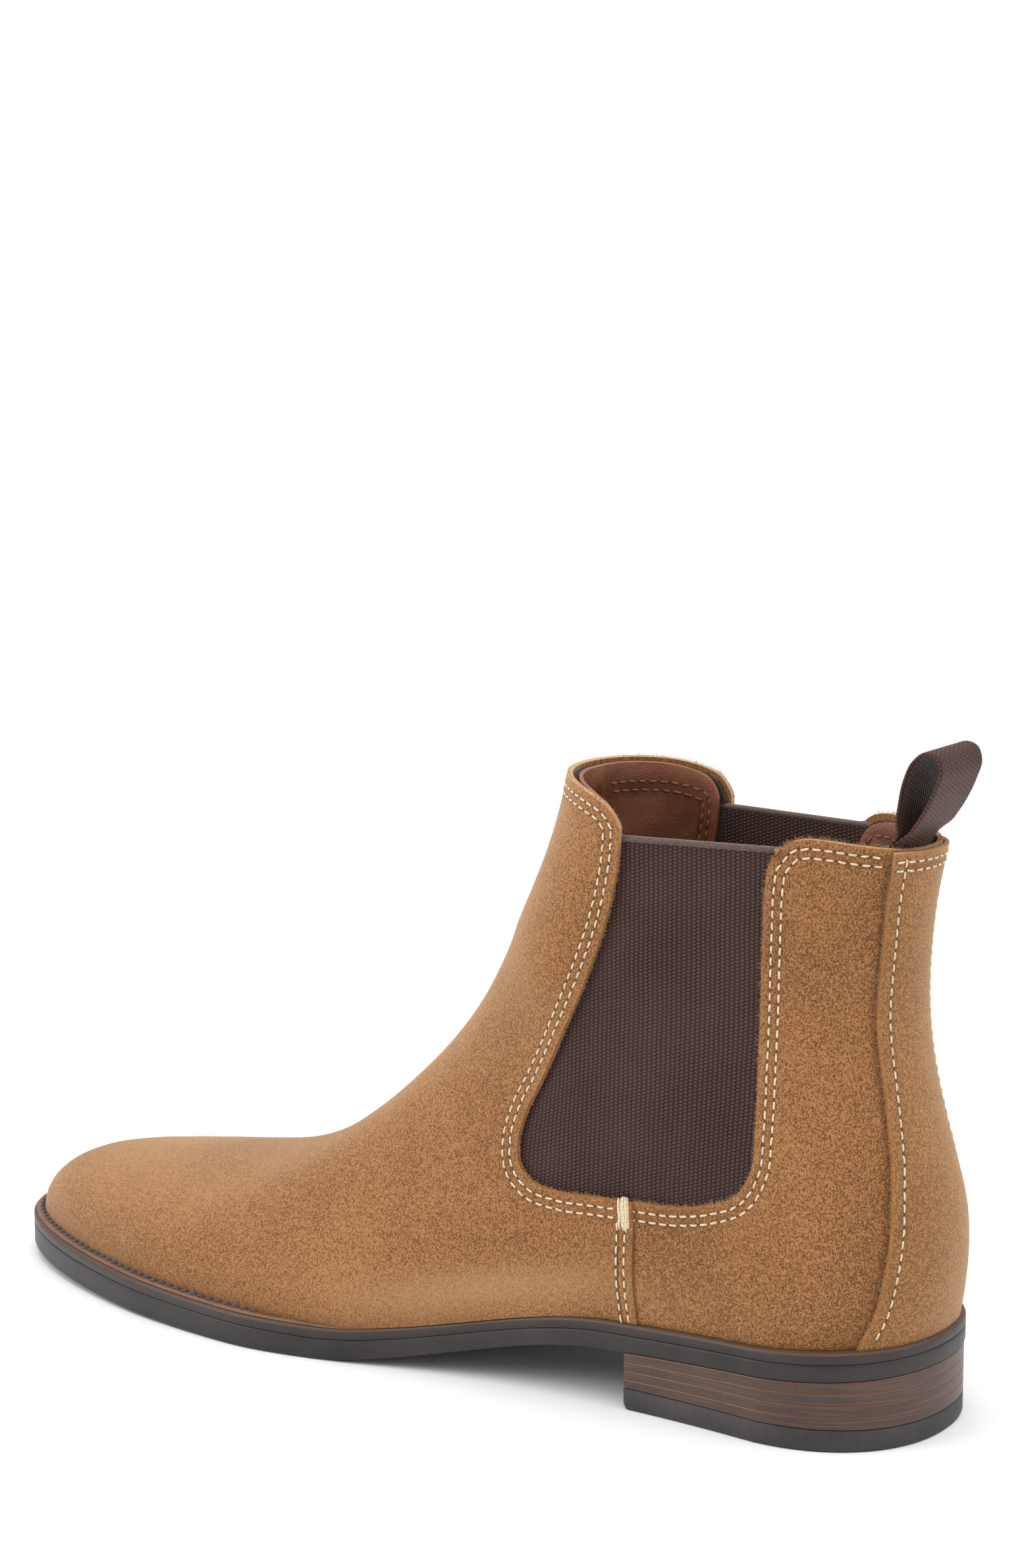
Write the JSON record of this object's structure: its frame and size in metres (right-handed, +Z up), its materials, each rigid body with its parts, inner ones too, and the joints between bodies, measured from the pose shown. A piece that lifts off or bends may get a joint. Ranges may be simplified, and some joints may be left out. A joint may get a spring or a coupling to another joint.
{
  "type": "chelsea boot",
  "caption": "Ankle boot for the left foot with elastic side gores, a webbing pull tab at the back, a suede upper and a stacked heel.",
  "frame": {"origin": "on the ground under the middle of the heel, at the centre of the top lift's flat underside", "axes": "+Y towards the toe, +Z up, -X towards the outer side of the foot"},
  "size_m": [0.0998, 0.3058, 0.1769],
  "materials": {
    "suede": "napped suede",
    "gore_elastic": "ribbed elastic",
    "stiffener": "matte",
    "lining": "smooth",
    "board": "matte",
    "steel": "brushed",
    "sole_rubber": "satin",
    "heel_stack": "polished edge",
    "heel_tip": "matte",
    "webbing": "woven webbing"
  },
  "bodies": {
    "boot": {"vamp": "suede", "quarter_outer": "suede", "quarter_inner": "suede", "back_strip": "suede", "gore_outer": "gore_elastic", "gore_inner": "gore_elastic", "toe_puff": "stiffener", "heel_counter": "stiffener", "front_interlining": "stiffener", "back_interlining": "stiffener", "vamp_lining": "lining", "quarter_lining": "lining", "sock_liner": "lining", "insole_board": "board", "bottom_filler": "board", "shank": "steel", "welt": "sole_rubber", "outsole": "sole_rubber", "heel_lift_1": "heel_stack", "heel_lift_2": "heel_stack", "heel_lift_3": "heel_stack", "heel_lift_4": "heel_stack", "top_lift": "heel_tip", "heel_nail_1": "steel", "heel_nail_2": "steel", "heel_nail_3": "steel", "heel_nail_4": "steel", "heel_nail_5": "steel", "pull_tab_tail": "webbing"},
    "pull_tab": {"pull_tab": "webbing"}
  },
  "joints": [
    {"name": "pull_tab_swing", "type": "hinge", "parent": "boot", "child": "pull_tab", "pos_m": [0, -0.0277, 0.15325], "axis": [1, 0, 0], "range_deg": [-50, 35], "stiffness_Nm_per_rad": 0.004}
  ]
}
